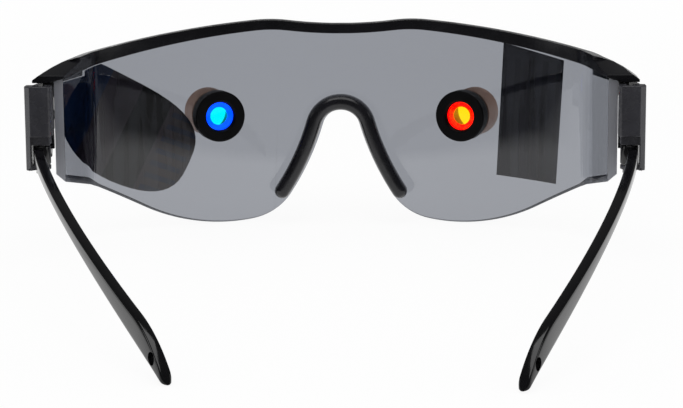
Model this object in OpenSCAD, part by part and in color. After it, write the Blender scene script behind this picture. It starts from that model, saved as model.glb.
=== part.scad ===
// Vision training glasses: a smoke visor with two viewing tubes, on folding and tilting arms.
// The front is drawn in its own frame: x to the side, y to the rear, z up the visor,
// with the hinge line at y = 0, z = 0. It is then leaned and set down on the floor.

/* [Visor] */
// Thickness of the visor
visor_t = 2.2; // [1.6:0.1:3]
// Outer radius of the visor's front curve
front_r = 88; // [80:1:100]
// How far the visor's foremost line stands ahead of the hinge line
wrap_depth = 45; // [42:1:50]
// Distance from the middle to the start of the side bend
bend_x = 61; // [58:0.5:63]
// Outer radius of the side bend
bend_r = 10; // [7:0.5:12]
// Direction of the side panel, measured from straight across
side_angle = 76; // [72:1:80]
// Where the side panel ends, measured from the hinge line
side_end_y = -0.4; // [-2:0.1:0]
// Distance from the middle to the centre of each lower lobe
lobe_x = 29.2; // [27:0.2:32]
// Height of the lobe centres
lobe_z = 8.3; // [7:0.1:10]
// Radius of each lower lobe
lobe_r = 38.8; // [37:0.1:40]
// Slope of the straight flank beyond each lobe
flank_angle = 32.2; // [28:0.2:36]
// Height of the lower edge where the side panel ends
side_low_z = -12; // [-14:0.2:-10.4]
// How far the visor's own upper edge lies under the bar's upper edge
bar_lip = 1.2; // [0.9:0.1:1.5]
// Forward lean of the visor when the glasses stand on the floor
visor_lean = 3.1; // [2:0.1:5]

/* [Brow bar] */
// Height that the bar's upper arc would reach at the middle
brow_top_z = 22.3; // [21.5:0.1:24]
// Radius of the bar's upper arc
brow_top_r = 289; // [270:1:320]
// Height of the bar's upper edge at the bottom of its middle dip
dip_top_z = 20.3; // [19.5:0.1:21]
// Height of the bar at its middle
bar_h = 2.4; // [2:0.1:3]
// Radius of the bar's lower arc
brow_low_r = 250; // [240:1:289]
// Radius of the middle dip
dip_r = 103; // [90:1:120]
// Radius of the two crests beside the dip
crest_r = 40; // [30:1:50]
// How far the bar stands out from each face of the visor
bar_overhang = 0.9; // [0.6:0.1:1.4]
// Distance from the middle to the outer edge of the end wings
wing_x = 72.5; // [71.5:0.1:73.4]
// Where the end wings stop, measured from the hinge line
wing_rear_y = 1.2; // [0.4:0.1:1.6]
// Height of the underside of the wings
wing_low_z = 10.3; // [10.2:0.1:10.8]
// Radius of the bar's rounded-off ends, seen from the front
bar_roll_r = 24; // [22:0.5:30]
// Slope of the bar's ends, down to the rear
wing_slope = 14; // [10:0.5:16]

/* [Hinge] */
// Distance from the middle to the flat outer face of the bracket
bracket_x = 70.1; // [69.9:0.1:70.2]
// Where the tilt pivot lies, measured from the hinge line
tilt_y = -7.5; // [-8.5:0.1:-7]
// Height of the tilt pivot
tilt_z = 1.5; // [1:0.1:2]
// Radius over the tips of the ratchet teeth
ratchet_r = 10.6; // [10:0.1:11]
// Depth of the ratchet teeth
tooth_depth = 0.6; // [0.4:0.1:0.9]
// Angle from one ratchet tooth to the next
tooth_step = 5; // [4:1:6]
// Radius of the tilt pin
tilt_pin_r = 1.2; // [0.9:0.1:1.5]
// Radius of the fold pin
fold_pin_r = 0.9; // [0.7:0.05:1.1]
// Distance from the middle to the fold pin
fold_x = 69.85; // [69.6:0.05:70.1]
// Where the fold pin lies, measured from the hinge line
fold_y = 5.1; // [4.9:0.1:5.6]
// Distance from the middle to the outer face of each hinge block
block_x = 73.5; // [73.2:0.1:75]
// Height of the block's upper face at the rear
block_top_z = 10.2; // [9.4:0.1:10.8]
// Rear face of the block, measured from the hinge line
block_rear_y = 8; // [7.8:0.1:9]
// Thickness of the block's outer cheek
cheek_t = 1.4; // [1:0.1:1.5]

/* [Arms] */
// Radius of the arm's knuckle
knuckle_r = 2.1; // [1.9:0.05:2.1]
// Height of the arm's knuckle
knuckle_h = 4.5; // [4:0.1:5]
// Thickness of the arm
arm_t = 2.5; // [2:0.1:3]
// Length of the arm from the fold pin to its tip
arm_len = 103.6; // [98:0.2:106]
// Inward fold of the arm on the +X side as it stands
fold_left = 11.4; // [6:0.1:16]
// Inward fold of the arm on the -X side as it stands
fold_right = 5.1; // [3:0.1:12]
// Radius of the cord hole near the tip
cord_hole_r = 1.4; // [1:0.1:1.6]

/* [Viewing tubes] */
// Distance between the centres of the rear faces of the two retaining rings
tube_spacing = 60.8; // [58:0.2:66]
// Height of the tubes
tube_z = -2.45; // [-4:0.05:0]
// Outer radius of the barrel
barrel_r = 6.2; // [5.8:0.1:7]
// How far the barrel stands out of the visor
barrel_out = 7.3; // [5:0.1:10]
// Outer radius of the retaining ring
ring_r = 6.5; // [6.4:0.1:7.2]
// Thickness of the retaining ring
ring_t = 3.65; // [3:0.05:4.2]
// Radius of the opening in the aperture disc
aperture_r = 2.3; // [1.5:0.1:3]

/* [Nose bridge] */
// Radius of the arch along its middle line
nose_r = 7.2; // [6.8:0.02:8.2]
// Height of the arch's centre
nose_z = -6.71; // [-8:0.01:-6]
// How far each leg leans out where it leaves the arch
leg_angle = 16.4; // [12:0.2:20]
// Radius of the leg's outward curve
leg_r = 66; // [55:1:90]
// Height of the legs' feet over the lowest points of the lobes
foot_up = 8.1; // [7:0.1:12]
// Width of the soft section
nose_w = 4; // [3:0.1:4.4]
// Depth of the soft section behind the visor
nose_d = 6.2; // [4:0.1:8]

/* [Labels] */
// Thickness of the labels
label_t = 0.15; // [0.1:0.01:0.2]
// Length of the rounded label
label_len = 52; // [44:0.5:54]
// Height of the rounded label, across its length
label_h = 25.8; // [20:0.2:27]
// Slope of the rounded label, up to the side
label_slope = 27.4; // [20:0.2:32]
// Width of the plain strip label
strip_w = 14.8; // [10:0.2:16]

/* [Hidden] */

$fn = 96;

// Clearances
seat_gap = 0.05;        // between a piece and the seat it is set into
turn_gap = 0.05;        // round a pin, on the radius
slide_gap = 0.15;       // between faces that pass each other
bracket_gap = 0.35;     // between the visor's side panel and the bracket, over the label
ring_gap = 0.02;        // between the visor and the ring's outer edge

// Visor plan
front_cy = front_r - wrap_depth;
bend_angle = asin(bend_x / front_r);
bend_c = [(front_r - bend_r) * sin(bend_angle), front_cy - (front_r - bend_r) * cos(bend_angle)];
side_dir = [cos(side_angle), sin(side_angle)];
function bend_end(off) = bend_c + (bend_r + off) * [sin(side_angle), -cos(side_angle)];
function side_at(off, y) = let (p = bend_end(off)) p + (y - p[1]) / sin(side_angle) * side_dir;
tall = 80;              // taller than anything that is cut from an outline

// Steps along the arcs
front_steps = 30;
bend_steps = 10;
lobe_steps = 32;
dip_steps = 6;
brow_steps = 12;
roll_steps = 6;
nose_steps = 12;
leg_steps = 8;
blend_steps = 10;
label_steps = 48;
root_steps = 4;
main_steps = 20;

// Brow bar
brow_drop = brow_top_z - dip_top_z;
bar_end_ahead = 1.5;    // where the slope of the bar's ends starts, ahead of the tilt pivot
bar_end_drop = 7.7;     // and below the bar's upper arc
bar_roll_x = 63.2;      // where the ends start to round off
bar_reach = 11.3;       // how far beyond that the rounding is drawn

// Nose bridge and the cut-out that it lines, seen from the front
notch_step = 0.35;      // how far the visor's edge shows inside the bridge
leg_c = [0, nose_z] + (nose_r + leg_r) * [cos(leg_angle), sin(leg_angle)];
leg_to = asin((leg_c[1] - lobe_z + lobe_r - foot_up) / leg_r);
leg_lean = [cos(leg_to), sin(leg_to)];
foot = leg_c - leg_r * leg_lean;
edge_off = -nose_w / 2 - notch_step;

// Visor outline: an arc blends the cut-out into the lobe and touches both
blend_from = foot + edge_off * leg_lean - [lobe_x, lobe_z];
blend_r = (pow(lobe_r, 2) - blend_from * blend_from) / 2 / (lobe_r + blend_from * leg_lean);
blend_c = foot + (edge_off + blend_r) * leg_lean;
blend_to = atan2(lobe_z - blend_c[1], lobe_x - blend_c[0]);
flank_start = [lobe_x + lobe_r * sin(flank_angle), lobe_z - lobe_r * cos(flank_angle)];
flank_end = [bend_x, flank_start[1] + (bend_x - flank_start[0]) * tan(flank_angle)];
panel_end = [side_at(0, side_end_y)[0], side_low_z];

// Labels: the middle of the rounded one, as a distance along the visor and a height,
// and the inner corners of the strip with the fall of its ends
label_s = 63.9;
label_z = -2.7;
label_round = 3;        // 2 is an ellipse, more is squarer
label_inset = 0.6;      // how far the rounded label ends short of the visor's rear edge
strip_low = [-40.4, -17.7];
strip_high = [-42, 16.3];
strip_low_fall = 0.8;
strip_high_fall = 3.5;
front_len = front_r * bend_angle * PI / 180;
bend_len = bend_r * (side_angle - bend_angle) * PI / 180;
// Sideways place of a point on the visor's outer face, from its distance along the face
function along_x(s) = s < front_len ? front_r * sin(s / front_r * 180 / PI)
    : s < front_len + bend_len ? bend_c[0] + bend_r * sin(bend_angle + (s - front_len) / bend_r * 180 / PI)
    : bend_end(0)[0] + (s - front_len - bend_len) * cos(side_angle);

// Tubes
ring_seat_r = front_r - visor_t;
barrel_wall = 1;
neck_r = 4.9;
neck_wall = 0.7;
lip_t = 1.2;            // thickness of the ring's rear lip
lip_hole_r = 3.45;
lip_flare = 0.5;
filter_t = 0.6;
disc_t = 0.5;
ring_sag = ring_seat_r - sqrt(pow(ring_seat_r, 2) - pow(ring_r, 2));
ring_front = -ring_sag - ring_gap;      // the ring's front face, from the visor's inner face
ring_rear = ring_front - ring_t;
tube_yaw = asin(tube_spacing / 2 / (ring_seat_r + ring_rear));  // the tube stands square to the visor
tube_seat = [0, front_cy] + front_r * [sin(tube_yaw), -cos(tube_yaw)];
filter_front = ring_rear + lip_t + filter_t;
disc_front = filter_front + disc_t;

// Tilt joint
bracket_t = 1.2;
bracket_low_angle = -70;
bracket_high_angle = 30;
boss_r = 3.6;
rim_in_x = 67.6;        // inner face of the toothed rim, behind the visor's end
rim_step = 0.15;        // how far the rim's front stands behind the gusset's
gusset_low_z = 5;       // the gusset's lower corner, at the visor's end
gusset_front = [-5.4, 10.9];            // and its upper one, in depth and height
neck_front_y = -9.2;
neck_top_z = 11.4;
neck_inset = 1;         // how far the neck ends ahead of the wing's rear edge
pin_head_r = 2.1;
pin_head_t = 0.8;
head_recess = 0.3;
pin_back = 0.1;         // how far the tilt pin ends short of the bracket's inner face
pawl_gap = 0.15;        // between the pawl's edge and the tips of the teeth
pawl_up = 1;            // height of the pawl's root above the pivot
pawl_down = 3;          // and below it
pawl_root_y = 4.2;

// Block
block_in_x = 67.2;
block_bevel = 1.5;
block_corner = 0.6;
block_taper_y = -2;     // where the block's outer face starts to run in toward the front
core_in_x = 67.7;
weld = 0.5;             // overlap of the block's parts inside its cheek
plate_front_y = 3.7;
shoulder_z = 9.3;       // height of the block under the wing
shoulder_bevel = 2;
block_low_z = -1.8;     // lower edge of the block's solid part
cheek_low_z = -10;
cheek_step_y = 1.5;     // front end of the cheek's lower edge
cheek_corner = 1.1;
block_front_y = -11.5;
block_front_x = 72.2;
block_nose_r = 3.9;
core_rear_y = 6.9;
lug_t = 1.1;
rivet_r = 1.5;
rivet_t = 1;
cheek_in_x = block_x - cheek_t;

// Arm
knuckle_top_z = -4.1;
root_r = 174;           // bend of the arm just behind the knuckle
root_sweep = 5.1;
main_r = 300;           // bend of the rest of the arm
root_len = root_r * root_sweep * PI / 180;
main_sweep = (arm_len + 1 - root_len) / main_r * 180 / PI;
edge_z = -4.3;          // height of the arm's upper edge at the pin
upper_slope = 7.4;      // slope of the upper edge at the pin
upper_r = 420;
lower_z = -7.46;        // height of the arm's lower edge at the pin
lower_slope = 4.9;
lower_r = 260;
tip_r = 24;
tip_droop = 14.6;       // length of the rounded end
tip_start = arm_len - tip_droop;
cord_hole_s = arm_len - 6.2;

main_c = [knuckle_r - root_r, 0] + (root_r - main_r) * [cos(root_sweep), sin(root_sweep)];
function arm_at(off, angle) = main_c + (main_r + off) * [cos(angle), sin(angle)];
upper_c = [-upper_r * sin(upper_slope), edge_z - upper_r * cos(upper_slope)];
lower_c = [-lower_r * sin(lower_slope), lower_z - lower_r * cos(lower_slope)];
tip_turn = asin((tip_start - upper_c[0]) / upper_r);
tip_c = upper_c + (upper_r - tip_r) * [sin(tip_turn), cos(tip_turn)];
function upper_at(s) = upper_c[1] + sqrt(pow(upper_r, 2) - pow(s - upper_c[0], 2));
function lower_at(s) = lower_c[1] + sqrt(pow(lower_r, 2) - pow(s - lower_c[0], 2));
// Where the rounded end meets the lower edge
tip_gap = norm(lower_c - tip_c);
tip_run = (pow(tip_r, 2) - pow(lower_r, 2) + pow(tip_gap, 2)) / (2 * tip_gap);
tip_side = sqrt(pow(tip_r, 2) - pow(tip_run, 2));
tip_way = (lower_c - tip_c) / tip_gap;
tip_meet = tip_c + tip_run * tip_way + tip_side * [-tip_way[1], tip_way[0]];
function tip_at(s) = tip_c[1] + sqrt(pow(tip_r, 2) - pow(s - tip_c[0], 2));

// Where the object stands: its lobes touch the floor and its box is centred on the origin
lobe_y = front_cy - sqrt(pow(front_r, 2) - pow(lobe_x, 2));
stand_z = -(lobe_y * sin(visor_lean) + (lobe_z - lobe_r) * cos(visor_lean));
barrel_front = tube_seat + barrel_out * [sin(tube_yaw), -cos(tube_yaw)];
front_y = barrel_front[1] - barrel_r * sin(tube_yaw);
tip_uv = arm_at(0, asin((tip_meet[0] - main_c[1]) / main_r));
tip_y = fold_y + tip_uv[1] * cos(fold_right) + tip_uv[0] * sin(fold_right);
tip_z = tip_meet[1];
low_y = front_y * cos(visor_lean) - tube_z * sin(visor_lean);
high_y = tip_y * cos(visor_lean) - tip_z * sin(visor_lean);
stand_y = -(low_y + high_y) / 2;

module stand() {
    translate([0, stand_y, stand_z]) rotate([visor_lean, 0, 0]) children();
}

// A shape drawn for the +X side, or its mirror image
module side(right) {
    stand() mirror([right ? 1 : 0, 0, 0]) children();
}

module both() {
    children();
    mirror([1, 0, 0]) children();
}

// Points along an arc about centre c
function arc(c, r, from, to, steps) =
    [for (i = [0 : steps]) let (a = from + (to - from) * i / steps) c + r * [cos(a), sin(a)]];

// A half outline and its mirror image as one closed path
function mirrored(half) =
    concat(half, [for (i = [len(half) - 1 : -1 : 0]) [-half[i][0], half[i][1]]]);

// Outline seen from the front, swept through the whole depth
module seen_from_front() {
    translate([0, 20, 0]) rotate([90, 0, 0]) linear_extrude(height = 90) children();
}

// Outline in depth and height, swept sideways from x_from to x_to
module seen_from_side(x_from, x_to) {
    translate([x_from, 0, 0]) rotate([90, 0, 90]) linear_extrude(height = x_to - x_from) children();
}

// Plan of the +X half of a face that lies off from the visor's outer face
function face_path(off, end_y) = concat(
    arc([0, front_cy], front_r + off, -90, -90 + bend_angle, front_steps),
    arc(bend_c, bend_r + off, -90 + bend_angle, -90 + side_angle, bend_steps),
    [side_at(off, end_y)]);

// Upright band between two offsets from the visor's outer face
module band(outer, inner, end_y) {
    out_path = face_path(outer, end_y);
    in_path = face_path(inner, end_y);
    last = len(out_path) - 1;
    translate([0, 0, -tall / 2]) linear_extrude(height = tall) polygon(concat(
        [for (i = [last : -1 : 1]) [-out_path[i][0], out_path[i][1]]], out_path,
        [for (i = [last : -1 : 0]) in_path[i]],
        [for (i = [1 : last]) [-in_path[i][0], in_path[i][1]]]));
}

// Everything below a brow curve: a wide arc with a rounded dip at its middle and rounder ends
module below_brow(top_z, arc_r, end_r) {
    arc_cz = top_z - arc_r;
    hollow_r = dip_r + brow_top_z - top_z;
    bump_r = crest_r - brow_top_z + top_z;
    hollow_cz = top_z - brow_drop + hollow_r;
    far2 = pow(arc_r - bump_r, 2);
    near2 = pow(hollow_r + bump_r, 2);
    bump_z = ((far2 - near2) / (hollow_cz - arc_cz) + arc_cz + hollow_cz) / 2;
    bump_x = sqrt(near2 - pow(bump_z - hollow_cz, 2));
    from_hollow = atan2(hollow_cz - bump_z, -bump_x);
    to_arc = atan2(bump_z - arc_cz, bump_x);
    roll_from = acos(bar_roll_x / brow_top_r);
    roll_c = [0, arc_cz] + (arc_r - end_r) * [cos(roll_from), sin(roll_from)];
    side_x = bar_roll_x + bar_reach;
    roll_to = acos((side_x - roll_c[0]) / end_r);
    polygon(mirrored(concat(
        [for (i = [1 : dip_steps]) let (a = -90 + (from_hollow - 90) * i / dip_steps)
            [hollow_r * cos(a), hollow_cz + hollow_r * sin(a)]],
        arc([bump_x, bump_z], bump_r, from_hollow, to_arc, dip_steps),
        [for (i = [1 : brow_steps]) let (a = to_arc + (roll_from - to_arc) * i / brow_steps)
            [arc_r * cos(a), arc_cz + arc_r * sin(a)]],
        [for (i = [1 : roll_steps]) let (a = roll_from + (roll_to - roll_from) * i / roll_steps)
            roll_c + end_r * [cos(a), sin(a)]],
        [[side_x, -tall]])));
}

module below_visor_top(gap) {
    lip = bar_lip - gap;
    below_brow(brow_top_z - lip, brow_top_r - lip, bar_roll_r - lip);
}

module below_bar(gap) {
    below_brow(brow_top_z - bar_h - gap, brow_low_r, brow_low_r);
}

// What lies above the sloping ends of the bar, lowered by drop
module above_ends(drop) {
    both() seen_from_side(0, block_x + 1)
        translate([tilt_y - bar_end_ahead, brow_top_z - bar_end_drop - drop])
            rotate(-wing_slope) square([tall, tall]);
}

// Leg of the nose arch at off from its middle line, from the arch to the foot
function leg_path(off) = arc(leg_c, leg_r - off, leg_angle + 180, leg_to + 180, leg_steps);

// Lower edge of the visor: nose cut-out, two lobes, straight flanks and the side panels' ends
module lobes_outline() {
    side_x = block_x + 1;
    arch_turn = (90 - leg_angle) / (nose_steps + 0.5);
    polygon(mirrored(concat(
        arc([0, nose_z], nose_r + edge_off, 90 - arch_turn / 2, leg_angle + arch_turn, nose_steps - 1),
        leg_path(edge_off),
        [for (i = [1 : blend_steps]) let (a = leg_to + (blend_to - leg_to) * i / blend_steps)
            blend_c - blend_r * [cos(a), sin(a)]],
        [for (i = [1 : lobe_steps]) let (a = blend_to - 180 + (flank_angle + 90 - blend_to) * i / lobe_steps)
            [lobe_x, lobe_z] + lobe_r * [cos(a), sin(a)]],
        [flank_end, panel_end, [side_x, side_low_z], [side_x, tall / 2]])));
}

// Placed on the tube's axis, with z forward and z = 0 on the visor's outer face
module on_tube() {
    translate([tube_seat[0], tube_seat[1], tube_z]) rotate([90, 0, tube_yaw]) children();
}

module visor() {
    color([0.58, 0.6, 0.62, 0.5]) stand() difference() {
        intersection() {
            band(0, -visor_t, side_end_y);
            seen_from_front() lobes_outline();
            seen_from_front() below_visor_top(0);
        }
        above_ends(bar_lip);
        both() on_tube() translate([0, 0, -3 * visor_t])
            cylinder(r = neck_r + seat_gap, h = 6 * visor_t);
    }
}

module visor_slot() {
    difference() {
        intersection() {
            band(seat_gap, -visor_t - seat_gap, side_end_y + seat_gap);
            seen_from_front() below_visor_top(seat_gap);
        }
        above_ends(bar_lip - seat_gap);
    }
}

// Plan of the bar's end wing over the hinge block
module wing_plan() {
    root = bend_end(0);
    polygon([root + side_dir, [wing_x, root[1] + (wing_x - root[0])], [wing_x, wing_rear_y],
             side_at(0, wing_rear_y)]);
}

// Bracket outline in depth and height: a toothed sector, a boss for the pin and a neck
module bracket_outline() {
    root_r2 = ratchet_r - tooth_depth;
    polygon(concat([[tilt_y, tilt_z]],
        [for (a = [bracket_low_angle : tooth_step : bracket_high_angle])
            each [[tilt_y + root_r2 * cos(a), tilt_z + root_r2 * sin(a)],
                  [tilt_y + ratchet_r * cos(a + tooth_step / 2),
                   tilt_z + ratchet_r * sin(a + tooth_step / 2)]]]));
    translate([tilt_y, tilt_z]) circle(r = boss_r);
    polygon([[tilt_y - boss_r * cos(wing_slope), tilt_z + boss_r * sin(wing_slope)],
             [tilt_y, tilt_z],
             [tilt_y + root_r2 * cos(bracket_high_angle), tilt_z + root_r2 * sin(bracket_high_angle)],
             [wing_rear_y - neck_inset, wing_low_z], [wing_rear_y - neck_inset, neck_top_z],
             [neck_front_y, neck_top_z]]);
}

// A thin plate, thicker at its toothed rim and at the gusset under the bar
module bracket() {
    rim_y = side_end_y + bracket_gap;
    difference() {
        seen_from_side(rim_in_x, bracket_x) bracket_outline();
        seen_from_side(rim_in_x - 1, bracket_x - bracket_t)
            polygon([[rim_y + rim_step, -tall], [rim_y + rim_step, gusset_low_z], gusset_front,
                     [tilt_y - ratchet_r, gusset_front[1]], [tilt_y - ratchet_r, -tall]]);
        band(bracket_gap, -visor_t, rim_y);
        seen_from_side(0, block_x) translate([tilt_y, tilt_z]) circle(r = tilt_pin_r);
    }
}

module brow_bar() {
    color([0.07, 0.07, 0.08]) stand() {
        difference() {
            intersection() {
                union() {
                    difference() {
                        band(bar_overhang, -visor_t - bar_overhang, wing_rear_y);
                        seen_from_front() below_bar(0);
                    }
                    both() translate([0, 0, wing_low_z]) linear_extrude(height = tall / 4)
                        wing_plan();
                }
                seen_from_front() below_brow(brow_top_z, brow_top_r, bar_roll_r);
            }
            visor_slot();
            above_ends(0);
        }
        both() bracket();
    }
}

module nose_outline() {
    half = nose_w / 2;
    last = leg_steps;
    outer = leg_path(half);
    inner = leg_path(-half);
    polygon(concat(
        [for (i = [last : -1 : 1]) outer[i]],
        arc([0, nose_z], nose_r + half, leg_angle, 180 - leg_angle, 2 * nose_steps),
        [for (i = [1 : last]) [-outer[i][0], outer[i][1]]],
        [for (i = [1 : bend_steps - 1]) let (a = 180 - leg_to + 180 * i / bend_steps)
            [-foot[0], foot[1]] + half * [cos(a), sin(a)]],
        [for (i = [last : -1 : 1]) [-inner[i][0], inner[i][1]]],
        arc([0, nose_z], nose_r - half, 180 - leg_angle, leg_angle, 2 * nose_steps),
        [for (i = [1 : last]) inner[i]],
        [for (i = [1 : bend_steps - 1]) let (a = leg_to + 180 + 180 * i / bend_steps)
            foot + half * [cos(a), sin(a)]]));
}

module nose_bridge() {
    color([0.13, 0.13, 0.15]) stand() intersection() {
        band(-visor_t - seat_gap, -visor_t - nose_d, side_end_y);
        seen_from_front() nose_outline();
    }
}

// Outline of the rounded label, seen from the front: a squarish oval laid along the visor
module label_outline() {
    polygon([for (i = [0 : label_steps - 1])
        let (a = 360 * i / label_steps,
             u = label_len / 2 * sign(cos(a)) * pow(abs(cos(a)), 2 / label_round),
             w = label_h / 2 * sign(sin(a)) * pow(abs(sin(a)), 2 / label_round))
        [along_x(label_s + u * cos(label_slope) - w * sin(label_slope)),
         label_z + u * sin(label_slope) + w * cos(label_slope)]]);
}

module label_oval() {
    color([0.16, 0.13, 0.15]) stand() intersection() {
        band(label_t, 0, side_end_y - label_inset);
        seen_from_front() difference() {
            intersection() {
                label_outline();
                below_bar(slide_gap);
            }
            // Room for the end wing
            translate([bend_end(0)[0], wing_low_z - slide_gap]) square([tall, tall]);
        }
    }
}

module label_strip() {
    color([0.1, 0.1, 0.12]) stand() intersection() {
        band(label_t, 0, side_end_y);
        seen_from_front() polygon([strip_low, strip_low - [strip_w, strip_low_fall],
                                   strip_high - [strip_w, strip_high_fall], strip_high]);
    }
}

module barrel() {
    difference() {
        union() {
            cylinder(r = barrel_r, h = barrel_out);
            translate([0, 0, disc_front - visor_t + seat_gap])
                cylinder(r = neck_r, h = visor_t - disc_front);
        }
        translate([0, 0, barrel_wall]) cylinder(r = barrel_r - barrel_wall, h = barrel_out);
        translate([0, 0, ring_rear - visor_t])
            cylinder(r = neck_r - neck_wall, h = visor_t - ring_rear + 2 * barrel_wall);
    }
}

module retaining_ring() {
    translate([0, 0, ring_rear - visor_t]) difference() {
        cylinder(r = ring_r, h = ring_t);
        translate([0, 0, lip_t]) cylinder(r = neck_r + seat_gap, h = ring_t);
        translate([0, 0, -seat_gap]) cylinder(r1 = lip_hole_r + lip_flare, r2 = lip_hole_r,
                                              h = lip_t + 2 * seat_gap);
    }
}

module filter_disc() {
    translate([0, 0, filter_front - filter_t - visor_t]) cylinder(r = neck_r, h = filter_t);
}

module aperture_disc() {
    translate([0, 0, disc_front - disc_t - visor_t]) difference() {
        cylinder(r = neck_r, h = disc_t);
        translate([0, 0, -disc_t]) cylinder(r = aperture_r, h = 3 * disc_t);
    }
}

// Plan of the hinge block
module block_plan() {
    polygon([[bracket_x + slide_gap, block_front_y], [block_front_x, block_front_y],
             [block_x, block_taper_y], [block_x, block_rear_y - block_bevel],
             [block_x - block_bevel, block_rear_y], [block_in_x + block_corner, block_rear_y],
             [block_in_x, block_rear_y - block_corner], [block_in_x, plate_front_y],
             [bracket_x + slide_gap, plate_front_y]]);
}

// Upper, solid part of the block in depth and height
module block_outline() {
    translate([tilt_y, tilt_z]) circle(r = block_nose_r);
    polygon([[tilt_y, block_low_z], [tilt_y - block_nose_r, tilt_z],
             [tilt_y - block_nose_r, shoulder_z - shoulder_bevel],
             [tilt_y - shoulder_bevel, shoulder_z],
             [plate_front_y, shoulder_z], [plate_front_y, block_top_z],
             [block_rear_y, block_top_z], [block_rear_y, block_low_z]]);
}

module cheek_outline() {
    polygon([[tilt_y, tilt_z], [tilt_y, tilt_z - block_nose_r],
             [cheek_step_y, cheek_low_z], [block_rear_y - cheek_corner, cheek_low_z],
             [block_rear_y, cheek_low_z + cheek_corner], [block_rear_y, tilt_z]]);
}

module hinge_block() {
    lug_top = knuckle_top_z - knuckle_h - slide_gap;
    pawl_reach = ratchet_r + pawl_gap;
    difference() {
        union() {
            intersection() {
                translate([0, 0, -tall / 2]) linear_extrude(height = tall) block_plan();
                seen_from_side(block_in_x - 1, block_x + 1) block_outline();
            }
            intersection() {
                translate([0, 0, -tall / 2]) linear_extrude(height = tall) intersection() {
                    block_plan();
                    translate([cheek_in_x, -tall / 2]) square([2 * cheek_t, tall]);
                }
                seen_from_side(block_in_x - 1, block_x + 1) cheek_outline();
            }
            // Core over the knuckle
            translate([core_in_x, plate_front_y, knuckle_top_z + slide_gap])
                cube([cheek_in_x + weld - core_in_x, core_rear_y - plate_front_y, tilt_z - knuckle_top_z]);
            // Lug under the knuckle
            translate([fold_x, fold_y, lug_top - lug_t]) cylinder(r = knuckle_r, h = lug_t);
            translate([fold_x, fold_y - knuckle_r, lug_top - lug_t])
                cube([cheek_in_x + weld - fold_x, 2 * knuckle_r, lug_t]);
            // Pawl facing the ratchet
            seen_from_side(core_in_x, bracket_x)
                polygon([[pawl_root_y, tilt_z + pawl_up],
                         [tilt_y + pawl_reach * cos(tooth_step), tilt_z - pawl_reach * sin(tooth_step)],
                         [pawl_root_y, tilt_z - pawl_down]]);
        }
        seen_from_side(block_in_x, block_x + 1) translate([tilt_y, tilt_z])
            circle(r = tilt_pin_r + turn_gap);
        seen_from_side(block_front_x - pin_head_t, block_x + 1) translate([tilt_y, tilt_z])
            circle(r = pin_head_r + slide_gap);
        translate([fold_x, fold_y, -tall / 2]) cylinder(r = fold_pin_r, h = tall);
        translate([fold_x, fold_y, block_top_z - pin_head_t]) cylinder(r = rivet_r, h = tall);
    }
}

module tilt_pin() {
    inner = bracket_x - bracket_t + pin_back;
    seen_from_side(inner, block_front_x - pin_head_t + slide_gap) translate([tilt_y, tilt_z])
        circle(r = tilt_pin_r);
    seen_from_side(block_front_x - pin_head_t + slide_gap, block_front_x + slide_gap)
        translate([tilt_y, tilt_z]) circle(r = pin_head_r);
}

module fold_pin() {
    low = knuckle_top_z - knuckle_h - slide_gap - lug_t;
    translate([fold_x, fold_y, low - rivet_t]) {
        cylinder(r = fold_pin_r, h = block_top_z - pin_head_t - low + rivet_t);
        cylinder(r = rivet_r, h = rivet_t);
    }
    translate([fold_x, fold_y, block_top_z - pin_head_t]) cylinder(r = rivet_r, h = pin_head_t - head_recess);
}

// Plan of the arm: two arcs that bend gently inward, one behind the other
module arm_plan() {
    root_c = [knuckle_r - root_r, 0];
    polygon(concat(
        arc(root_c, root_r, 0, root_sweep, root_steps),
        [for (i = [1 : main_steps]) arm_at(0, root_sweep + main_sweep * i / main_steps)],
        [for (i = [main_steps : -1 : 1]) arm_at(-arm_t, root_sweep + main_sweep * i / main_steps)],
        arc(root_c, root_r - arm_t, root_sweep, 0, root_steps)));
}

// The arm seen from the side: a slim blade that droops to a rounded tip
module arm_profile() {
    start = -knuckle_r;
    tip_from = asin((tip_start - upper_c[0]) / upper_r);
    tip_to = asin((tip_meet[0] - tip_c[0]) / tip_r);
    polygon(concat(
        arc(upper_c, upper_r, 90 - asin((start - upper_c[0]) / upper_r), 90 - tip_from, main_steps),
        [for (i = [1 : main_steps]) let (a = 90 - tip_from - (tip_to - tip_from) * i / main_steps)
            tip_c + tip_r * [cos(a), sin(a)]],
        arc(lower_c, lower_r, 90 - asin((tip_meet[0] - lower_c[0]) / lower_r),
            90 - asin((start - lower_c[0]) / lower_r), main_steps)));
}

module arm(fold) {
    hole_z = (tip_at(cord_hole_s) + lower_at(cord_hole_s)) / 2;
    hole_angle = asin((cord_hole_s - main_c[1]) / main_r);
    hole_uv = arm_at(0, hole_angle);
    translate([fold_x, fold_y, 0]) rotate(fold) difference() {
        union() {
            intersection() {
                translate([0, 0, -tall]) linear_extrude(height = tall) arm_plan();
                seen_from_side(-tall / 2, knuckle_r + 1) arm_profile();
            }
            translate([0, 0, knuckle_top_z - knuckle_h]) cylinder(r = knuckle_r, h = knuckle_h);
        }
        translate([0, 0, -tall / 2]) cylinder(r = fold_pin_r + turn_gap, h = tall);
        translate([hole_uv[0], hole_uv[1], hole_z]) rotate([0, 90, hole_angle])
            cylinder(r = cord_hole_r, h = 6 * arm_t, center = true);
    }
}

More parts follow.
